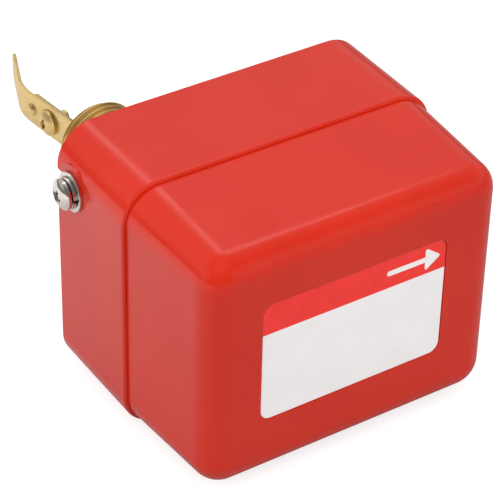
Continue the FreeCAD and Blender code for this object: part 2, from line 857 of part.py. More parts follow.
SWITCH_HOLES = (
    ("switch_middle - switch_hole_spacing / 2", "-switch_front - switch_hole_inset"),
    ("switch_middle + switch_hole_spacing / 2",
     "-switch_front - switch_hole_inset - switch_hole_rise"),
)


def switch_case():
    """Moulded case with two fixing holes and the plunger's bore, and its riveted lid."""
    upper = "(switch_thickness - switch_lid)"
    middle = "-switch_front - switch_height / 2"
    case = new_body("switch_case")
    side = new_sketch(case, "case_side", "XY_Plane", "-switch_thickness / 2")
    rounded(side, "switch_middle", middle, "switch_length", "switch_height", "switch_round")
    pad(case, side, "case_block", upper)
    bore = new_sketch(case, "plunger_bore_outline", "XZ_Plane", "switch_front")
    circle(bore, "plunger_at", "0", "plunger_radius + plunger_gap")
    pocket(case, bore, "plunger_bore", "plunger_length - plunger_proud + plunger_room", flip=True)
    lid = new_body("switch_lid")
    cap = new_sketch(lid, "lid_side", "XY_Plane", upper + " - switch_thickness / 2")
    rounded(cap, "switch_middle", middle, "switch_length - 2 * switch_lid_inset",
            "switch_height - 2 * switch_lid_inset", "switch_round")
    pad(lid, cap, "lid_plate", "switch_lid")
    for body in (case, lid):
        holes = new_sketch(body, body.Name + "_holes", "XY_Plane", "-switch_thickness")
        for x, y in SWITCH_HOLES:
            circle(holes, x, y, "switch_screw_radius + hole_gap")
        pocket(body, holes, body.Name + "_bores", "2 * switch_thickness", flip=True)


def switch_screws():
    for number, (x, y) in enumerate(SWITCH_HOLES, start=1):
        reach = "(switch_thickness + bracket_thickness)"
        screw = turned("switch_screw_%d" % number, [
            ("-switch_screw_head", "0"),
            ("-switch_screw_head", "switch_screw_head_radius * 0.6"),
            ("-switch_screw_head * 0.6", "switch_screw_head_radius"),
            ("0", "switch_screw_head_radius"),
            ("0", "switch_screw_radius"),
            (reach, "switch_screw_radius"),
            (reach, "0"),
        ])
        place(screw, x, y, "switch_thickness / 2", (0, 1, 0), "90")


def switch_plunger():
    plunger = turned("switch_plunger", [
        ("0", "0"),
        ("plunger_radius * 0.6", "0"),
        ("plunger_radius", "-plunger_radius * 0.4"),
        ("plunger_radius", "-plunger_length"),
        ("0", "-plunger_length"),
    ], "V_Axis")
    place(plunger, "plunger_at", "plunger_proud - switch_front")


def switch_terminals():
    """Three flat terminals on the back of the switch, each with its clamping screw."""
    for number, step in enumerate((-1, 0, 1), start=1):
        x = "switch_middle + %d * terminal_spacing" % step
        tab = new_body("switch_terminal_%d" % number)
        face = new_sketch(tab, "terminal_face_%d" % number, "XY_Plane", "-terminal_thickness / 2")
        rounded(face, "0", "-terminal_length / 2", "terminal_width", "terminal_length",
                "terminal_width / 6")
        circle(face, "0", "-terminal_screw_rise", "terminal_screw_radius + thread_gap")
        pad(tab, face, "terminal_tab_%d" % number, "terminal_thickness")
        place(tab, x, "-switch_back")
        screw = turned("terminal_screw_%d" % number, [
            ("-terminal_screw_head", "0"),
            ("-terminal_screw_head", "terminal_screw_head_radius * 0.6"),
            ("-terminal_screw_head * 0.6", "terminal_screw_head_radius"),
            ("0", "terminal_screw_head_radius"),
            ("0", "terminal_screw_radius"),
            ("4 * terminal_thickness", "terminal_screw_radius"),
            ("4 * terminal_thickness", "0"),
        ])
        place(screw, x, "-switch_back - terminal_screw_rise", "terminal_thickness / 2",
              (0, 1, 0), "90")


def bracket():
    """Folded steel bracket: foot under two flange screws, wall for the switch, leaf for the screw."""
    body = new_body("bracket")
    wall = new_sketch(body, "wall_outline", "XY_Plane", "-bracket_back")
    step = "plate_front + bracket_height / 3"
    outline(wall, [
        ("-bracket_left", "-plate_front"),
        ("-bracket_left", "-switch_back - bracket_corner"),
        ("bracket_corner - bracket_left", "-switch_back - 2 * bracket_corner"),
        ("leaf_left - bracket_corner", "-switch_back - 2 * bracket_corner"),
        ("leaf_left", "-switch_back - 3 * bracket_corner"),
        ("leaf_left", "-leaf_depth"),
        ("bracket_right", "-leaf_depth"),
        ("bracket_right", "-" + "(" + step + ")"),
        ("bracket_left", "-plate_front - bracket_corner"),
        ("bracket_left", "-plate_front"),
    ])
    pad(body, wall, "wall", "bracket_thickness")

    foot = new_sketch(body, "foot_outline", "XZ_Plane", "plate_front")
    outline(foot, [
        ("-bracket_left", "-bracket_face"),
        ("-bracket_left", "bracket_corner - bracket_face - bracket_foot"),
        ("bracket_corner - bracket_left", "-bracket_face - bracket_foot"),
        ("bracket_left - bracket_corner", "-bracket_face - bracket_foot"),
        ("bracket_left", "bracket_corner - bracket_face - bracket_foot"),
        ("bracket_left", "-bracket_face"),
    ])
    for across in ("", "-"):
        circle(foot, across + "bolt_circle * cos(45)", "-bolt_circle * cos(45)",
               "bolt_radius + hole_gap")
    pad(body, foot, "foot", "bracket_thickness")

    leaf = new_sketch(body, "leaf_outline", "XZ_Plane", "leaf_depth - bracket_thickness")
    outline(leaf, [
        ("leaf_left", "-bracket_back"),
        ("bracket_right", "-bracket_back"),
        ("bracket_right", "bracket_leaf / 2 - bracket_corner"),
        ("bracket_right - bracket_corner", "bracket_leaf / 2"),
        ("leaf_left + bracket_corner", "bracket_leaf / 2"),
        ("leaf_left", "bracket_leaf / 2 - bracket_corner"),
    ])
    circle(leaf, "range_at", "0", "range_screw_radius + thread_gap")
    pad(body, leaf, "leaf", "bracket_thickness")

    holes = new_sketch(body, "switch_hole_outline", "XY_Plane", "-bracket_back")
    for x, y in SWITCH_HOLES:
        circle(holes, x, y, "switch_screw_radius + thread_gap")
    pocket(body, holes, "switch_bores", "2 * bracket_thickness", flip=True)


# Range adjustment

def range_parts():
    """Screw through the bracket's leaf, its seat, and the spring that loads the arm."""
    tip = "(range_screw_end - range_seat_pocket)"
    screw = turned("range_screw", [
        ("0", "-range_screw_length - range_knob"),
        ("range_knob_radius * 0.85", "-range_screw_length - range_knob"),
        ("range_knob_radius", "-range_screw_length - range_knob * 0.8"),
        ("range_knob_radius", "-range_screw_length"),
        ("range_screw_radius", "-range_screw_length"),
        ("range_screw_radius", "-range_screw_radius / 4"),
        ("range_screw_radius * 0.75", "0"),
        ("0", "0"),
    ], "V_Axis")
    place(screw, "range_at", "-" + tip)
    seat = turned("range_seat", [
        ("0", "-range_seat_thickness + range_seat_pocket"),
        ("range_screw_radius + hole_gap", "-range_seat_thickness + range_seat_pocket"),
        ("range_screw_radius + hole_gap", "-range_seat_thickness"),
        ("range_seat_radius", "-range_seat_thickness"),
        ("range_seat_radius", "0"),
        ("range_stub_radius", "0"),
        ("range_stub_radius * 0.8", "range_stub"),
        ("0", "range_stub"),
    ], "V_Axis")
    place(seat, "range_at", "range_seat_thickness - range_screw_end")

    spring = new_body("range_spring")
    wire = new_sketch(spring, "spring_wire_outline", "XY_Plane")
    outline(wire, [("spring_radius + spring_wire * cos(%d)" % turn, "spring_wire * sin(%d)" % turn)
                   for turn in range(0, 360, 60)])
    coil = spring.newObject("PartDesign::AdditiveHelix", "spring_coil")
    coil.Profile = wire
    coil.ReferenceAxis = (wire, ["V_Axis"])
    coil.Mode = "height-turns-angle"
    bind(coil, "Height", "spring_end - spring_start")
    bind(coil, "Turns", "spring_turns")
    doc.recompute()
    place(spring, "range_at", "-spring_end")


def ground_screw():
    screw = turned("ground_screw", [
        ("0", "-ground_washer - ground_head"),
        ("ground_head_radius * 0.6", "-ground_washer - ground_head"),
        ("ground_head_radius", "-ground_washer - ground_head * 0.6"),
        ("ground_head_radius", "-ground_washer"),
        ("ground_radius", "-ground_washer"),
        ("ground_radius", "tray_thickness"),
        ("0", "tray_thickness"),
    ], "V_Axis")
    place(screw, "ground_at", "-plate_front", "-ground_drop")
    washer = new_body("ground_washer")
    ring = new_sketch(washer, "ground_ring", "XZ_Plane", "plate_front")
    circle(ring, "ground_at", "-ground_drop", "ground_washer_radius")
    circle(ring, "ground_at", "-ground_drop", "ground_radius + washer_bore_gap")
    pad(washer, ring, "ground_disc", "ground_washer")


for build in (cover, label_plate, cover_screw, base_tray, body_gasket, cable_grommet,
              thread_body, flange_screws, pivot_pin, lever, bellows, paddle_blade,
              paddle_fasteners, switch_arm, switch_case, switch_screws, switch_plunger,
              switch_terminals, bracket, range_parts, ground_screw):
    build()
doc.recompute()

broken = [item.Name for item in doc.Objects
          if "Invalid" in item.State or "Error" in item.State]
if broken:
    raise RuntimeError("failed features: " + ", ".join(broken))
pieces = [item for item in doc.Objects
          if item.TypeId in ("PartDesign::Body", "Part::Cylinder") and item.Name != "cover_core"]
for piece in pieces:
    if piece.Shape.isNull() or not piece.Shape.isValid() or len(piece.Shape.Solids) != 1:
        raise RuntimeError(piece.Label + " is not one valid solid")
for piece in pieces:
    piece.Shape.exportStep("parts/" + piece.Label + ".step")
    print("%-22s %10.2f mm3" % (piece.Label, piece.Shape.Volume))
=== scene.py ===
import json
import math

import bmesh
import bpy
from mathutils import Matrix, Vector

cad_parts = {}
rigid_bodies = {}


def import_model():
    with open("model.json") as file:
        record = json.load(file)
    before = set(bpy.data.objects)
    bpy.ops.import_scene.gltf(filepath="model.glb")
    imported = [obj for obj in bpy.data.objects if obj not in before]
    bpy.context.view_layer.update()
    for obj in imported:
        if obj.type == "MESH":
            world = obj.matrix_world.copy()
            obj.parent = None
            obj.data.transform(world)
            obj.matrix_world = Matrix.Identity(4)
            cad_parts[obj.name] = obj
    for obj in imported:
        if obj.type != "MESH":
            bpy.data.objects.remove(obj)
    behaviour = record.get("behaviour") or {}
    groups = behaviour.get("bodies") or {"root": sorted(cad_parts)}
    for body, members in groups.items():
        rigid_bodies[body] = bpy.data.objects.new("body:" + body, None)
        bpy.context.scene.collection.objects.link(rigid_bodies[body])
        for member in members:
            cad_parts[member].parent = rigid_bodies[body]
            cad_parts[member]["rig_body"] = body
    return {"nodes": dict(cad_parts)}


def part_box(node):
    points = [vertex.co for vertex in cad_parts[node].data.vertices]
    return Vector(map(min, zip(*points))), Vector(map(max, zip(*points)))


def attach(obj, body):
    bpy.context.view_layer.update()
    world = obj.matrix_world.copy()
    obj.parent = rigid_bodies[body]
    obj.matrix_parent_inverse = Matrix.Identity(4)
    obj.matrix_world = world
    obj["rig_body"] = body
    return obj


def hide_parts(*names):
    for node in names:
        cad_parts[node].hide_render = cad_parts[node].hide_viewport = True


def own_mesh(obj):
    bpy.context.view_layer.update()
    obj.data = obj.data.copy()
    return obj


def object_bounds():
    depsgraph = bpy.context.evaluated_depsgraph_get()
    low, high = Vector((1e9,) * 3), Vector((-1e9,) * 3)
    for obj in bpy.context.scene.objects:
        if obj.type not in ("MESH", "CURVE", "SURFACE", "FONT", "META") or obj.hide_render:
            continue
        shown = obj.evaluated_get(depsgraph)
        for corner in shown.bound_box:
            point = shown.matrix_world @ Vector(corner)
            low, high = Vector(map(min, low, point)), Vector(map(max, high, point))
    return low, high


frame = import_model()
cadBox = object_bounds()
scene = bpy.context.scene
mm = 0.001
print("frame loaded:", len(frame["nodes"]), "nodes")

toPipe = Vector((0, 1, 0))  # +Y, out of the nipple
turn = math.tau


def linear(hexText):
    channels = [int(hexText[i:i + 2], 16) / 255 for i in (1, 3, 5)]
    return [c / 12.92 if c <= 0.04045 else ((c + 0.055) / 1.055) ** 2.4 for c in channels] + [1.0]


def addNode(tree, kind, values=None, links=None, **settings):
    node = tree.nodes.new(kind)
    for name, value in settings.items():
        setattr(node, name, value)
    for socket, value in (values or {}).items():
        node.inputs[socket].default_value = value
    for socket, source in (links or {}).items():
        tree.links.new(source, node.inputs[socket])
    return node


def newFinish(name, colour, metallic, roughness, **extra):
    # one Principled shader with its plain values; patterns are linked in by the caller
    material = bpy.data.materials.new(name)
    material.use_nodes = True
    tree = material.node_tree
    shader = next(n for n in tree.nodes if n.type == "BSDF_PRINCIPLED")
    shader.inputs["Base Color"].default_value = linear(colour)
    shader.inputs["Metallic"].default_value = metallic
    shader.inputs["Roughness"].default_value = roughness
    for socket, value in extra.items():
        shader.inputs[socket.replace("_", " ")].default_value = value
    return material, tree, shader


def place(tree, stretch=(1, 1, 1)):
    # object coordinates in metres, stretched so that a pattern runs along one axis
    spot = addNode(tree, "ShaderNodeTexCoord")
    return addNode(tree, "ShaderNodeMapping", {"Scale": stretch},
                   {"Vector": spot.outputs["Object"]}).outputs["Vector"]


def noise(tree, vector, grainMm, detail=2.0, rough=0.5):
    # a noise whose blobs are about grainMm across
    return addNode(tree, "ShaderNodeTexNoise",
                   {"Scale": 1 / (grainMm * mm), "Detail": detail, "Roughness": rough},
                   {"Vector": vector}).outputs["Fac"]


def spread(tree, value, low, high, fromLow=0.3, fromHigh=0.7):
    return addNode(tree, "ShaderNodeMapRange",
                   {"From Min": fromLow, "From Max": fromHigh, "To Min": low, "To Max": high},
                   {"Value": value}).outputs["Result"]


def blendColour(tree, value, first, second):
    # a cloudy change from the first colour to the second, over the middle of value's range
    stops = {0.35: first, 0.65: second}
    ramp = addNode(tree, "ShaderNodeValToRGB", links={"Fac": value})
    for element, (position, colour) in zip(ramp.color_ramp.elements, stops.items()):
        element.position, element.color = position, linear(colour)
    return ramp.outputs["Color"]


def roughen(tree, shader, height, depthMm):
    # a fine relief, depthMm deep, in the shading only
    bump = addNode(tree, "ShaderNodeBump", {"Strength": 1.0, "Distance": depthMm * mm},
                   {"Height": height})
    tree.links.new(bump.outputs["Normal"], shader.inputs["Normal"])


def redEnamel():
    # stoved gloss enamel on drawn sheet: even red, mirror sheen at a slant, faint orange peel
    material, tree, shader = newFinish("redStoveEnamel", "#D2260B", 0.0, 0.2, IOR=1.48)
    spot = place(tree)
    cloud = noise(tree, spot, 26, 3.0)
    tree.links.new(blendColour(tree, cloud, "#CF240A", "#D5280D"), shader.inputs["Base Color"])
    tree.links.new(spread(tree, noise(tree, spot, 9), 0.16, 0.26), shader.inputs["Roughness"])
    roughen(tree, shader, noise(tree, spot, 2.2), 0.006)
    return material


def labelVinyl():
    # white vinyl sticker: slightly warm white, satin, a trace of lay-down ripple
    material, tree, shader = newFinish("labelVinyl", "#FCF8F8", 0.0, 0.38, IOR=1.46)
    spot = place(tree)
    tree.links.new(blendColour(tree, noise(tree, spot, 7, 3.0), "#FAF6F6", "#FEFAFA"),
                   shader.inputs["Base Color"])
    roughen(tree, shader, noise(tree, spot, 5), 0.01)
    return material


def labelInk():
    # screen-printed red ink: brighter and flatter than the enamel round it
    material, tree, shader = newFinish("labelInk", "#FB352E", 0.0, 0.42, IOR=1.46)
    spot = place(tree)
    tree.links.new(blendColour(tree, noise(tree, spot, 3, 3.0), "#F8332C", "#FE3831"),
                   shader.inputs["Base Color"])
    roughen(tree, shader, noise(tree, spot, 0.6), 0.004)
    return material


def turnedBrass():
    # machined brass bar: warm yellow, fine tool rings round the axis, a little handling bloom
    material, tree, shader = newFinish("turnedBrass", "#EAC987", 1.0, 0.36)
    rings = noise(tree, place(tree, (0.12, 1, 0.12)), 0.22, 3.0)
    bloom = noise(tree, place(tree), 4, 4.0, 0.6)
    tree.links.new(blendColour(tree, bloom, "#E0BC75", "#F0D296"), shader.inputs["Base Color"])
    tree.links.new(spread(tree, bloom, 0.32, 0.46), shader.inputs["Roughness"])
    roughen(tree, shader, rings, 0.012)
    return material


def rolledBrass():
    # rolled brass strip, tumbled: soft satin, faint grain along its length, mellow edges
    material, tree, shader = newFinish("rolledBrass", "#EDCD8B", 1.0, 0.4)
    grain = noise(tree, place(tree, (1, 0.1, 1)), 0.25, 3.0)
    bloom = noise(tree, place(tree), 3.5, 4.0, 0.6)
    tree.links.new(blendColour(tree, bloom, "#E4C17D", "#F3D79C"), shader.inputs["Base Color"])
    tree.links.new(spread(tree, bloom, 0.36, 0.5), shader.inputs["Roughness"])
    roughen(tree, shader, grain, 0.01)
    return material


def brightNickel():
    # bright nickel plate over steel: near mirror, faintly warm, light polishing haze
    material, tree, shader = newFinish("brightNickel", "#D8D4CC", 1.0, 0.1)
    haze = noise(tree, place(tree), 1.4, 3.0)
    tree.links.new(blendColour(tree, haze, "#D2CEC6", "#DEDAD3"), shader.inputs["Base Color"])
    tree.links.new(spread(tree, haze, 0.07, 0.16), shader.inputs["Roughness"])
    roughen(tree, shader, noise(tree, place(tree), 0.5), 0.003)
    return material


def zincPlate():
    # bright zinc plate on pressed steel: cool grey, cloudy passivation, faint rolling lines
    material, tree, shader = newFinish("zincPlate", "#B9BDC1", 1.0, 0.36)
    spot = place(tree)
    cloud = noise(tree, spot, 6, 4.0, 0.6)
    tree.links.new(blendColour(tree, cloud, "#B2B4AE", "#C1C6CC"), shader.inputs["Base Color"])
    tree.links.new(spread(tree, cloud, 0.28, 0.44), shader.inputs["Roughness"])
    roughen(tree, shader, noise(tree, place(tree, (0.08, 1, 1)), 0.3), 0.006)
    return material


def drawnSteel():
    # zinc-plated machine screws and spring wire: brighter, drawn finish
    material, tree, shader = newFinish("drawnSteel", "#A9ABAD", 1.0, 0.28)
    cloud = noise(tree, place(tree), 1.6, 3.0)
    tree.links.new(blendColour(tree, cloud, "#9FA1A3", "#B4B6B8"), shader.inputs["Base Color"])
    tree.links.new(spread(tree, cloud, 0.22, 0.36), shader.inputs["Roughness"])
    roughen(tree, shader, noise(tree, place(tree), 0.3), 0.004)
    return material


def blackRubber():
    # moulded nitrile rubber: dull black with a grey bloom
    material, tree, shader = newFinish("nitrileRubber", "#1D1D1E", 0.0, 0.7, IOR=1.52)
    bloom = noise(tree, place(tree), 2.5, 4.0, 0.6)
    tree.links.new(blendColour(tree, bloom, "#19191A", "#262627"), shader.inputs["Base Color"])
    roughen(tree, shader, noise(tree, place(tree), 0.35), 0.02)
    return material


def gasketFibre():
    # pressed fibre sheet: brown, matted, no gloss
    material, tree, shader = newFinish("pressedFibre", "#5E4C3A", 0.0, 0.85, IOR=1.48)
    mat = noise(tree, place(tree, (1, 1, 0.4)), 0.5, 5.0, 0.7)
    tree.links.new(blendColour(tree, mat, "#4E3E2F", "#6D5A46"), shader.inputs["Base Color"])
    roughen(tree, shader, mat, 0.04)
    return material


def phenolic():
    # black phenolic moulding: hard, half gloss, mineral filler showing as faint mottling
    material, tree, shader = newFinish("blackPhenolic", "#17171A", 0.0, 0.34, IOR=1.6)
    filler = noise(tree, place(tree), 0.8, 4.0, 0.65)
    tree.links.new(blendColour(tree, filler, "#131315", "#1E1E21"), shader.inputs["Base Color"])
    tree.links.new(spread(tree, filler, 0.28, 0.42), shader.inputs["Roughness"])
    roughen(tree, shader, filler, 0.006)
    return material


def redAcetal():
    # acetal plunger: waxy red, slightly translucent look
    material, tree, shader = newFinish("redAcetal", "#A5231B", 0.0, 0.32, IOR=1.48)
    wax = noise(tree, place(tree), 0.9, 3.0)
    tree.links.new(blendColour(tree, wax, "#9E2019", "#AC271F"), shader.inputs["Base Color"])
    roughen(tree, shader, wax, 0.003)
    return material


finishes = {
    "red_paint": redEnamel(),
    "label": labelVinyl(),
    "nickel": brightNickel(),
    "zinc_steel": zincPlate(),
    "steel": drawnSteel(),
    "brass": turnedBrass(),
    "black_rubber": blackRubber(),
    "fibre": gasketFibre(),
    "black_plastic": phenolic(),
    "red_plastic": redAcetal(),
}
inkFinish = labelInk()
stripFinish = rolledBrass()
for node in frame["nodes"].values():
    for index, old in enumerate(node.data.materials):
        node.data.materials[index] = finishes[old.name.split(".")[0]]
for name in ("paddle_blade", "switch_terminal_1", "switch_terminal_2", "switch_terminal_3"):
    frame["nodes"][name].data.materials[0] = stripFinish
print("finishes made:", len(finishes) + 2)


# points nearer than these become one: on a CAD shape, on a turned shape, after a cut
cadGap, turnedGap, cutGap = 0.002 * mm, 0.001 * mm, 0.0005 * mm


def copyNode(name):
    # the CAD piece's own shape, merged, to be cut further
    bm = bmesh.new()
    bm.from_mesh(frame["nodes"][name].data)
    bmesh.ops.remove_doubles(bm, verts=bm.verts, dist=cadGap)
    return bm


def lathe(profile, centre, axis, steps):
    # profile is (radius, distance along the axis) in metres, closed on the axis or on itself
    bm = bmesh.new()
    axis = Vector(axis).normalized()
    side = axis.orthogonal().normalized()
    ring = [bm.verts.new(Vector(centre) + side * radius + axis * reach) for radius, reach in profile]
    edges = [bm.edges.new(pair) for pair in zip(ring, ring[1:])]
    if profile[0][0] > 0:
        edges.append(bm.edges.new((ring[-1], ring[0])))
    bmesh.ops.spin(bm, geom=ring + edges, cent=centre, axis=axis, angle=turn, steps=steps,
                   use_merge=True, use_duplicate=False)
    bmesh.ops.remove_doubles(bm, verts=bm.verts, dist=turnedGap)
    bmesh.ops.recalc_face_normals(bm, faces=bm.faces)
    return bm


def finishPiece(bm, name, body, finish, stands=(), sharp=32.0):
    mesh = bpy.data.meshes.new(name)
    bm.to_mesh(mesh)
    bm.free()
    piece = bpy.data.objects.new(name, mesh)
    scene.collection.objects.link(piece)
    mesh.materials.append(finish)
    mesh.shade_smooth()
    mesh.set_sharp_from_angle(angle=math.radians(sharp))
    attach(piece, body)
    if stands:
        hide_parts(*stands)
    return piece


def softenEdges(bm, width):
    # a small rounding, width in mm, on each edge that bends by more than sharpBend radians
    sharpBend = 1.2
    rim = [e for e in bm.edges if len(e.link_faces) == 2 and e.calc_face_angle() > sharpBend]
    bmesh.ops.bevel(bm, geom=rim, offset=width * mm, segments=2, affect="EDGES", profile=0.5,
                    material=-1)


def carve(bm, cutter):
    # bm less cutter, by an exact boolean on two short-lived objects
    pair = []
    for part in (bm, cutter):
        mesh = bpy.data.meshes.new("carving")
        part.to_mesh(mesh)
        part.free()
        pair.append(bpy.data.objects.new("carving", mesh))
        scene.collection.objects.link(pair[-1])
    cut = pair[0].modifiers.new("cut", "BOOLEAN")
    cut.operation, cut.solver, cut.object = "DIFFERENCE", "EXACT", pair[1]
    result = bmesh.new()
    result.from_object(pair[0], bpy.context.evaluated_depsgraph_get())
    for thing in pair:
        mesh = thing.data
        bpy.data.objects.remove(thing)
        bpy.data.meshes.remove(mesh)
    bmesh.ops.remove_doubles(result, verts=result.verts, dist=cutGap)
    return result


def wing(centre, axis, along, recess):
    # one flat wing of a screwdriver recess: a block that narrows towards its bottom
    bottomWidth = 0.8  # share of the width that is left at the bottom
    bm = bmesh.new()
    side = axis.cross(along)
    for vert in bmesh.ops.create_cube(bm, size=2.0)["verts"]:
        x, y, z = vert.co
        deep = z < 0
        span = recess["span"] * (recess["taper"] if deep else 1) / 2
        width = recess["width"] * (bottomWidth if deep else 1) / 2
        lift = -recess["deep"] if deep else recess["deep"]
        vert.co = centre + (along * x * span + side * y * width + axis * lift) * mm
    bmesh.ops.recalc_face_normals(bm, faces=bm.faces)
    return bm


def carveRecess(bm, centre, axis, recess):
    # one wing is a slot, two crossed wings with a conical middle are a cross recess
    cone = {"wide": 1.05, "narrow": 0.35, "foot": 1.1, "point": 1.25, "steps": 24}
    for number in range(recess["wings"]):
        angle = recess["twist"] + number * turn / 4
        along = Matrix.Rotation(angle, 3, axis) @ axis.orthogonal().normalized()
        bm = carve(bm, wing(centre, axis, along, recess))
    if recess["wings"] > 1:
        width, deep = recess["width"] * mm, recess["deep"] * mm
        wide, narrow = cone["wide"] * width, cone["narrow"] * width
        bm = carve(bm, lathe([(0, deep), (wide, deep), (wide, 0), (narrow, -cone["foot"] * deep),
                              (0, -cone["point"] * deep)], centre, axis, cone["steps"]))
    return bm


def domeProfile(radius, height, crown):
    # pan head: from the top of the dome on the axis down to the rim; height along the axis
    steps = 9
    sphere = (radius ** 2 + crown ** 2) / (2 * crown)
    points = []
    for step in range(steps + 1):
        r = radius * step / steps
        points.append((r, height - sphere + math.sqrt(sphere ** 2 - r ** 2)))
    return points


def leverFrame():
    # from the strip's own frame, where the heads sit on its face at x = 0, to the leaning lever
    lever = {"pivot": 14.6, "lean": 6.75, "bladeOffset": 1.5}
    lean = Matrix.Rotation(math.radians(lever["lean"]), 4, "Z")
    return (Matrix.Translation((0, -lever["pivot"] * mm, 0)) @ lean
            @ Matrix.Translation((-lever["bladeOffset"] * mm, 0, 0)))


def threadBody():
    # the CAD shape with its pipe thread cut
    thread = {"major": 10.48, "minor": 9.33, "pitch": 1.814, "start": 1.2, "end": 16.9, "steps": 72,
              "proud": 0.25, "open": 0.94, "root": 0.12}
    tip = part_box("thread_body")[1].y
    bm = copyNode("thread_body")
    # V-groove cutter: a section wound round the nipple, deepest at the minor radius
    cutter = bmesh.new()
    outer = (thread["major"] + thread["proud"]) * mm
    inner = thread["minor"] * mm
    half = 0.5 * thread["pitch"] * mm * thread["open"]
    flat = thread["root"] * thread["pitch"] * mm
    section = [(outer, -half), (inner, -flat), (inner, flat), (outer, half)]
    turns = (thread["end"] - thread["start"]) / thread["pitch"]
    ring = [cutter.verts.new((r, thread["start"] * mm + y, 0)) for r, y in section]
    face = cutter.faces.new(ring)
    bmesh.ops.spin(cutter, geom=[face], cent=(0, 0, 0), axis=toPipe, angle=turn * turns,
                   dvec=toPipe * thread["pitch"] * mm / thread["steps"],
                   steps=int(thread["steps"] * turns), use_duplicate=False)
    bmesh.ops.remove_doubles(cutter, verts=cutter.verts, dist=cutGap)
    bmesh.ops.recalc_face_normals(cutter, faces=cutter.faces)
    bm = carve(bm, cutter)
    piece = finishPiece(bm, "threadBody", "base", finishes["brass"], ["thread_body"],
                        sharp=17.0)
    endOn = 0.999  # a face whose normal goes along the pipe by more than this is an end
    # the flat ends of hexagon and flange are shaded flat, beside their small chamfers
    for face in piece.data.polygons:
        if abs(face.normal.y) > endOn:
            face.use_smooth = False
    print("thread body:", len(piece.data.polygons), "faces, tip at", round(tip / mm, 1))


def coverScrew():
    # domed pan head with a cross recess, on a shank with a cut thread
    screw = {"radius": 3.7, "crown": 1.25, "rimInset": 0.15, "rimDrop": 0.2, "underEdge": 0.2,
             "underInset": 0.3, "shank": 2.0, "endChamfer": 0.5, "steps": 72}
    thread = {"pitch": 0.7, "deep": 0.32, "crest": 0.15, "root": 0.6, "runOut": 0.1}
    recess = {"span": 4.6, "width": 1.1, "deep": 1.6, "taper": 0.45, "twist": 0.5, "wings": 2}
    low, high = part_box("cover_screw")
    out = Vector((-1, 0, 0))
    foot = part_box("cover_spring_washer")[0].x  # the head sits on the washer
    centre = Vector((foot, (low.y + high.y) / 2, (low.z + high.z) / 2))
    radius, crown, shank = screw["radius"] * mm, screw["crown"] * mm, screw["shank"] * mm
    height, length = foot - low.x, high.x - foot
    profile = domeProfile(radius - screw["rimInset"] * mm, height, crown)
    profile += [(radius, height - crown - screw["rimDrop"] * mm), (radius, screw["underEdge"] * mm),
                (radius - screw["underInset"] * mm, 0), (shank, 0)]
    pitch = thread["pitch"] * mm
    rings = int(length / pitch) - 1
    for ring in range(rings):  # cut thread on the shank
        profile += [(shank, -(ring + thread["crest"]) * pitch),
                    (shank - thread["deep"] * mm, -(ring + thread["root"]) * pitch)]
    profile += [(shank, -(rings + thread["runOut"]) * pitch),
                (shank - screw["endChamfer"] * mm, -length), (0, -length)]
    bm = lathe(profile, centre, out, screw["steps"])
    bm = carveRecess(bm, centre + out * height, out, recess)
    finishPiece(bm, "coverScrew", "cover_screw", finishes["nickel"], ["cover_screw"])


def springWasher():
    # one turn of square wire, split and sprung a little out of flat
    washer = {"bore": 2.15, "gap": 12.0, "gapAt": 100.0, "lift": 0.22, "steps": 70, "edge": 0.12}
    low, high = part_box("cover_spring_washer")
    centre = Vector((low.x, (low.y + high.y) / 2, (low.z + high.z) / 2))
    radius, thick = (high.y - low.y) / 2, high.x - low.x - washer["lift"] * mm
    bm = bmesh.new()
    along, axis = Vector((0, 0, 1)), Vector((1, 0, 0))
    sweep = turn - math.radians(washer["gap"])
    start = Matrix.Rotation(math.radians(washer["gapAt"]), 3, axis)
    corners = [(washer["bore"] * mm, 0), (radius, 0), (radius, thick), (washer["bore"] * mm, thick)]
    ring = [bm.verts.new(centre + start @ along * r + axis * x) for r, x in corners]
    face = bm.faces.new(ring)
    bmesh.ops.spin(bm, geom=[face], cent=centre, axis=axis, angle=sweep, steps=washer["steps"],
                   dvec=axis * washer["lift"] * mm / washer["steps"], use_duplicate=False)
    bmesh.ops.remove_doubles(bm, verts=bm.verts, dist=turnedGap)
    bmesh.ops.recalc_face_normals(bm, faces=bm.faces)
    softenEdges(bm, washer["edge"])
    finishPiece(bm, "springWasher", "cover_washers", finishes["nickel"],
                ["cover_spring_washer"])


def flatWasher():
    # punched and tumbled washer with rounded edges
    washer = {"edge": 0.14}
    bm = copyNode("cover_flat_washer")
    softenEdges(bm, washer["edge"])
    finishPiece(bm, "flatWasher", "cover_washers", finishes["nickel"],
                ["cover_flat_washer"])


# the screw and the rivet that hold the blade on the lever's tongue
fixings = {
    "paddleScrew": {"stands": "paddle_screw", "at": 42.8, "radius": 3.4, "height": 2.1,
                    "crown": 1.2, "shank": 1.5, "end": 5.3},
    "paddleRivet": {"stands": "paddle_rivet", "at": 50.0, "radius": 1.75, "height": 1.0,
                    "crown": 0.9, "shank": 1.0, "end": 3.0},
}


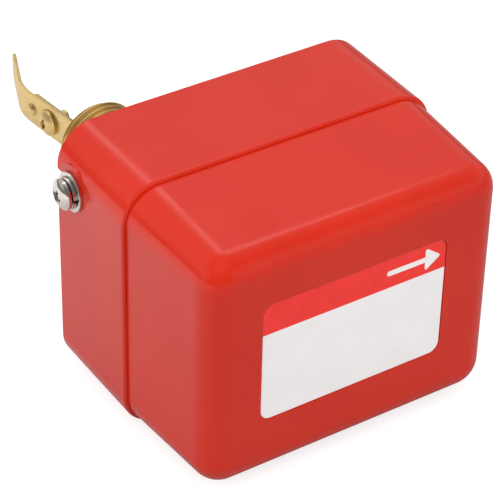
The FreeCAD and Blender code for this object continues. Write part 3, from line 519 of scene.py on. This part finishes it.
def paddleBlade():
    # rolled strip with a slow bend and rounded tip corners; it lies on the lever's tongue
    blade = {"start": 28.9, "straight": 51.2, "bend": 28.8, "radius": 15.8, "tip": 13.5,
             "thick": 0.8, "width": 8.4, "corner": 3.0, "arcSteps": 10, "cornerSteps": 6,
             "edge": 0.14, "holeGap": 0.05, "holeSteps": 32, "drillReach": 3.0}
    half, corner = blade["width"] / 2, blade["corner"]
    sweep = math.radians(blade["bend"])
    arc = blade["radius"] * sweep
    end = blade["straight"] + arc + blade["tip"]
    runs = [blade["start"], blade["straight"]]
    runs += [blade["straight"] + arc * (step + 1) / blade["arcSteps"]
             for step in range(blade["arcSteps"])]
    runs += [end - corner + corner * math.sin(turn / 4 * step / blade["cornerSteps"])
             for step in range(blade["cornerSteps"] + 1)]

    def spot(run, deep, across):
        # run along the strip, deep through its thickness, across its width
        bent = min(max(run - blade["straight"], 0), arc) / blade["radius"]
        beyond = max(run - blade["straight"] - arc, 0)
        swung = blade["radius"] - deep
        x = blade["radius"] - swung * math.cos(bent) + beyond * math.sin(bent)
        y = min(run, blade["straight"]) + swung * math.sin(bent) + beyond * math.cos(bent)
        return Vector((x, y, across)) * mm

    def halfWidth(run):
        into = max(run - (end - corner), 0)
        return half - corner + math.sqrt(max(corner ** 2 - into ** 2, 0))

    bm = bmesh.new()
    rings = []
    for run in runs:
        wide = halfWidth(run)
        corners = [(0, -wide), (0, wide), (blade["thick"], wide), (blade["thick"], -wide)]
        rings.append([bm.verts.new(spot(run, deep, across)) for deep, across in corners])
    for first, second in zip(rings, rings[1:]):
        for side in range(4):
            other = (side + 1) % 4
            bm.faces.new((first[side], first[other], second[other], second[side]))
    bm.faces.new(rings[0])
    bm.faces.new(rings[-1])
    bmesh.ops.recalc_face_normals(bm, faces=bm.faces)
    softenEdges(bm, blade["edge"])
    reach = blade["drillReach"] * mm
    for fixing in fixings.values():
        radius = (fixing["shank"] + blade["holeGap"]) * mm
        drill = [(0, -reach), (radius, -reach), (radius, reach), (0, reach)]
        middle = Vector((0, fixing["at"], 0)) * mm
        bm = carve(bm, lathe(drill, middle, (1, 0, 0), blade["holeSteps"]))
    bmesh.ops.transform(bm, matrix=leverFrame(), verts=bm.verts)
    finishPiece(bm, "paddleBlade", "paddle", stripFinish, ["paddle_blade"])


def paddleFasteners():
    # round-head screw and rivet through blade and tongue; only the screw has a recess
    head = {"domeShare": 0.96, "rimDrop": 0.02, "chamfer": 0.3, "steps": 56}
    recess = {"span": 4.4, "width": 0.95, "deep": 1.2, "taper": 0.45, "twist": 0.75, "wings": 2}
    out = Vector((-1, 0, 0))
    for name, fixing in fixings.items():
        centre = Vector((0, fixing["at"], 0)) * mm
        radius, height, crown = fixing["radius"], fixing["height"], fixing["crown"]
        shank, end, chamfer = fixing["shank"], fixing["end"], head["chamfer"]
        profile = domeProfile(radius * head["domeShare"], height, crown)
        profile += [(radius, height - crown - head["rimDrop"]), (radius, 0), (shank, 0),
                    (shank, chamfer - end), (shank - chamfer, -end), (0, -end)]
        bm = lathe([(r * mm, reach * mm) for r, reach in profile], centre, out, head["steps"])
        if name == "paddleScrew":
            bm = carveRecess(bm, centre + out * height * mm, out, recess)
        bmesh.ops.transform(bm, matrix=leverFrame(), verts=bm.verts)
        finishPiece(bm, name, "paddle", finishes["brass"], [fixing["stands"]])


def innerScrews():
    # the CAD screws inside the box, with one wing cut for a slot or two for a cross
    families = {
        "flange_screw": {"towards": (0, -1, 0), "share": 0.62, "width": 0.9, "deep": 1.2, "wings": 2},
        "ground_screw": {"towards": (0, -1, 0), "share": 0.62, "width": 1.0, "deep": 1.2, "wings": 2},
        "range_screw": {"towards": (0, -1, 0), "share": 1.15, "width": 1.0, "deep": 1.4, "wings": 1},
        "switch_screw": {"towards": (0, 0, 1), "share": 1.1, "width": 0.8, "deep": 0.9, "wings": 1},
        "terminal_screw": {"towards": (0, 0, -1), "share": 1.1, "width": 0.8, "deep": 0.8, "wings": 1},
    }
    taper = {"slot": 1.0, "cross": 0.45}
    stop = {"step": 0.5, "angles": 7}  # each screw was tightened to an angle of its own
    for name in sorted(frame["nodes"]):
        family = next((key for key in families if name.startswith(key)), None)
        if not family:
            continue
        style = families[family]
        axis = Vector(style["towards"])
        low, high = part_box(name)
        size = high - low
        top = (low + high) / 2 + axis * abs(size.dot(axis)) / 2
        head = min(extent for extent, part in zip(size, axis) if not part) / mm
        recess = {"span": head * style["share"], "width": style["width"], "deep": style["deep"],
                  "wings": style["wings"], "taper": taper["slot" if style["wings"] == 1 else "cross"],
                  "twist": stop["step"] * (ord(name[-1]) % stop["angles"])}
        bm = carveRecess(copyNode(name), top, axis, recess)
        words = name.split("_")
        made = words[0] + "".join(word.capitalize() for word in words[1:])
        slotName = "brass" if family in ("ground_screw", "range_screw") else "steel"
        finishPiece(bm, made, frame["nodes"][name]["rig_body"], finishes[slotName], [name])


def rangeSpring():
    # round wire wound to the length of the CAD spring
    spring = {"radius": 3.2, "wire": 0.45, "turns": 6, "steps": 40, "sides": 14,
              "squeeze": 3.9}
    low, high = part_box("range_spring")
    centre = Vector(((low.x + high.x) / 2, 0, (low.z + high.z) / 2))
    wire = spring["wire"] * mm
    first, last = low.y + wire, high.y - wire
    bm = bmesh.new()
    ring = bmesh.ops.create_circle(bm, cap_ends=True, segments=spring["sides"],
                                   radius=wire)["verts"]
    bmesh.ops.translate(bm, verts=ring, vec=(spring["radius"] * mm, 0, 0))
    bmesh.ops.translate(bm, verts=ring, vec=centre + Vector((0, first, 0)))
    steps = spring["steps"] * spring["turns"]
    bmesh.ops.spin(bm, geom=list(bm.faces), cent=centre, axis=toPipe, angle=turn * spring["turns"],
                   steps=steps, dvec=toPipe * (last - first) / steps, use_duplicate=False)
    bmesh.ops.remove_doubles(bm, verts=bm.verts, dist=turnedGap)
    bmesh.ops.recalc_face_normals(bm, faces=bm.faces)
    piece = finishPiece(bm, "rangeSpring", "range_seat", finishes["steel"],
                        ["range_spring"])
    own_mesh(piece)


def labelPrint():
    # red band and arrow printed on the white sticker
    band = {"height": 7.9, "corner": 2.6, "ink": 0.03, "arcSteps": 8}
    arrow = {"from": 0.67, "to": 0.965, "shaft": 1.4, "head": 3.9, "headWidth": 5.5, "tip": 0.45,
             "ink": 0.05}
    low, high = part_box("label_plate")
    front = low.y
    corner = band["corner"] * mm
    foot = high.z - band["height"] * mm

    def sheet(points, thick, name, finish):
        bm = bmesh.new()
        face = bm.faces.new([bm.verts.new((x, front, z)) for x, z in points])
        grown = bmesh.ops.extrude_face_region(bm, geom=[face])
        verts = [v for v in grown["geom"] if isinstance(v, bmesh.types.BMVert)]
        bmesh.ops.translate(bm, verts=verts, vec=(0, -thick * mm, 0))
        bmesh.ops.recalc_face_normals(bm, faces=bm.faces)
        finishPiece(bm, name, "cover", finish)

    def bend(cx, cz, radius, start, stop):
        # an arc round (cx, cz), angles in degrees
        angles = [math.radians(start + (stop - start) * step / band["arcSteps"])
                  for step in range(band["arcSteps"] + 1)]
        return [(cx + radius * math.cos(angle), cz + radius * math.sin(angle)) for angle in angles]

    outline = [(low.x, foot), (high.x, foot)]
    outline += bend(high.x - corner, high.z - corner, corner, 0, 90)
    outline += bend(low.x + corner, high.z - corner, corner, 90, 180)
    sheet(outline, band["ink"], "labelBand", inkFinish)

    width = high.x - low.x
    tail, nose = low.x + width * arrow["from"], low.x + width * arrow["to"]
    middle = (foot + high.z) / 2
    shaft, neck = arrow["shaft"] * mm / 2, nose - arrow["head"] * mm
    tip = arrow["tip"] * mm
    wide = arrow["headWidth"] * mm / 2 - tip
    outline = bend(tail + shaft, middle, shaft, 90, 270)
    outline += [(neck, middle - shaft)]
    outline += bend(neck + tip, middle - wide, tip, 180, 300)
    outline += bend(nose - tip, middle, tip, -60, 60)
    outline += bend(neck + tip, middle + wide, tip, 60, 180)
    outline += [(neck, middle + shaft)]
    sheet(outline, arrow["ink"], "flowArrow", finishes["label"])


threadBody()
coverScrew()
springWasher()
flatWasher()
paddleBlade()
paddleFasteners()
innerScrews()
rangeSpring()
labelPrint()
print("pieces made")


def floorAndBackdrop():
    # one large sheet under the object, at the height of its lowest point
    floor = {"half": 3.0, "grain": 300, "glow": 0.74, "pool": 0.62, "poolTowards": (-0.75, 0.66, 0),
             "dim": -0.04, "bright": 0.12}
    bm = bmesh.new()
    bmesh.ops.create_grid(bm, x_segments=1, y_segments=1, size=floor["half"])
    bmesh.ops.translate(bm, verts=bm.verts, vec=(0, 0, cadBox[0].z))
    mesh = bpy.data.meshes.new("floor")
    bm.to_mesh(mesh)
    bm.free()
    piece = bpy.data.objects.new("floor", mesh)
    scene.collection.objects.link(piece)
    # matt pale studio paper: it reads as white to the camera, and mirror rays see a bright
    # pool of it behind and to the left of the object
    material, tree, shader = newFinish("studioPaper", "#B2B2B2", 0.0, 0.9, IOR=1.4)
    spot = place(tree)
    tree.links.new(blendColour(tree, noise(tree, spot, floor["grain"]), "#B1B1B1", "#B3B3B3"),
                   shader.inputs["Base Color"])
    away = addNode(tree, "ShaderNodeVectorMath", {1: floor["poolTowards"]}, {0: spot},
                   operation="DOT_PRODUCT")
    pool = spread(tree, away.outputs["Value"], 0.0, floor["pool"], floor["dim"], floor["bright"])
    path = addNode(tree, "ShaderNodeLightPath")
    mirrored = addNode(tree, "ShaderNodeMath", links={0: path.outputs["Is Glossy Ray"], 1: pool},
                       operation="MULTIPLY")
    seen = addNode(tree, "ShaderNodeMath", {1: floor["glow"]}, {0: path.outputs["Is Camera Ray"]},
                   operation="MULTIPLY")
    glow = addNode(tree, "ShaderNodeMath", links={0: seen.outputs["Value"],
                                                  1: mirrored.outputs["Value"]}, operation="ADD")
    shader.inputs["Emission Color"].default_value = (1, 1, 1, 1)
    tree.links.new(glow.outputs["Value"], shader.inputs["Emission Strength"])
    mesh.materials.append(material)


def studioWorld():
    # white to the eye; mirror rays see a white studio, dim at the horizon and behind the camera
    level = {"seen": 1.0, "mirror": 0.66, "patch": 0.2, "horizon": 0.1, "light": 0.55}
    patch = {"towards": (-0.41, -0.71, 0.57), "edge": 0.25, "full": 0.6}
    band = {"dark": 0.03, "clear": 0.28}
    world = bpy.data.worlds.new("studio")
    scene.world = world
    world.use_nodes = True
    tree = world.node_tree
    background = next(n for n in tree.nodes if n.type == "BACKGROUND")
    background.inputs["Color"].default_value = (1, 1, 1, 1)
    spot = addNode(tree, "ShaderNodeTexCoord").outputs["Generated"]
    height = addNode(tree, "ShaderNodeSeparateXYZ", links={0: spot}).outputs["Z"]
    walls = spread(tree, height, level["horizon"], level["mirror"], band["dark"], band["clear"])
    nearness = addNode(tree, "ShaderNodeVectorMath", {1: patch["towards"]}, {0: spot},
                       operation="DOT_PRODUCT")
    dimmed = spread(tree, nearness.outputs["Value"], level["mirror"], level["patch"],
                    patch["edge"], patch["full"])
    mirror = addNode(tree, "ShaderNodeMath", links={0: walls, 1: dimmed},
                     operation="MINIMUM").outputs["Value"]
    path = addNode(tree, "ShaderNodeLightPath")
    mirrored = addNode(tree, "ShaderNodeMath", links={0: path.outputs["Is Glossy Ray"],
                                                      1: path.outputs["Is Transmission Ray"]},
                       operation="MAXIMUM")
    bounced = addNode(tree, "ShaderNodeMapRange", {"To Min": level["light"]},
                      {"Value": mirrored.outputs["Value"], "To Max": mirror})
    strength = addNode(tree, "ShaderNodeMapRange", {"To Max": level["seen"]},
                       {"Value": path.outputs["Is Camera Ray"], "To Min": bounced.outputs["Result"]})
    tree.links.new(strength.outputs["Result"], background.inputs["Strength"])


def softbox(name, towards, size, power, along=(1, 0, 0), mirrored=False):
    # size is (length along, width); a lamp that isn't mirrored gives light but no highlight
    distance = 0.9
    centre = (cadBox[0] + cadBox[1]) / 2
    lamp = bpy.data.lights.new(name, "AREA")
    lamp.shape, lamp.energy = "RECTANGLE", power
    lamp.size, lamp.size_y = size
    thing = bpy.data.objects.new(name, lamp)
    scene.collection.objects.link(thing)
    back = Vector(towards).normalized()
    across = back.cross(Vector(along)).normalized()
    turned = Matrix((across.cross(back), across, back)).transposed()
    thing.matrix_world = Matrix.Translation(centre + back * distance) @ turned.to_4x4()
    thing.visible_glossy = mirrored


def studioCamera():
    view = {"eye": (-0.2408, -0.4155, 0.3328), "look": (0.44455, 0.66829, -0.59646),
            "roll": 1.43, "lens": 174.3, "sensor": 36.0, "near": 0.01, "far": 20.0}
    data = bpy.data.cameras.new("camera")
    data.lens, data.sensor_width = view["lens"], view["sensor"]
    data.clip_start, data.clip_end = view["near"], view["far"]
    camera = bpy.data.objects.new("camera", data)
    scene.collection.objects.link(camera)
    aim = Vector(view["look"]).to_track_quat("-Z", "Y").to_matrix()
    lean = Matrix.Rotation(math.radians(view["roll"]), 3, "Z")
    camera.matrix_world = Matrix.Translation(view["eye"]) @ (aim @ lean).to_4x4()
    scene.camera = camera


floorAndBackdrop()
studioWorld()
lamps = {
    "keyLight": {"towards": (-0.25, -0.45, 1.0), "size": (0.7, 0.7), "power": 3.2},
    "frontFill": {"towards": (0.5, -1.0, 0.35), "size": (0.6, 0.6), "power": 2.1},
    "sideFill": {"towards": (-1.0, 0.1, 0.45), "size": (0.6, 0.6), "power": 2.9},
    "stripLight": {"towards": (0.24, 0.52, 0.79), "size": (0.85, 0.11), "power": 0.6,
                   "along": (0.34, -0.38, 0.15), "mirrored": True},
}
for name, lamp in lamps.items():
    softbox(name, **lamp)
studioCamera()
scene.view_settings.view_transform = "Standard"
print("floor, lights and camera set")
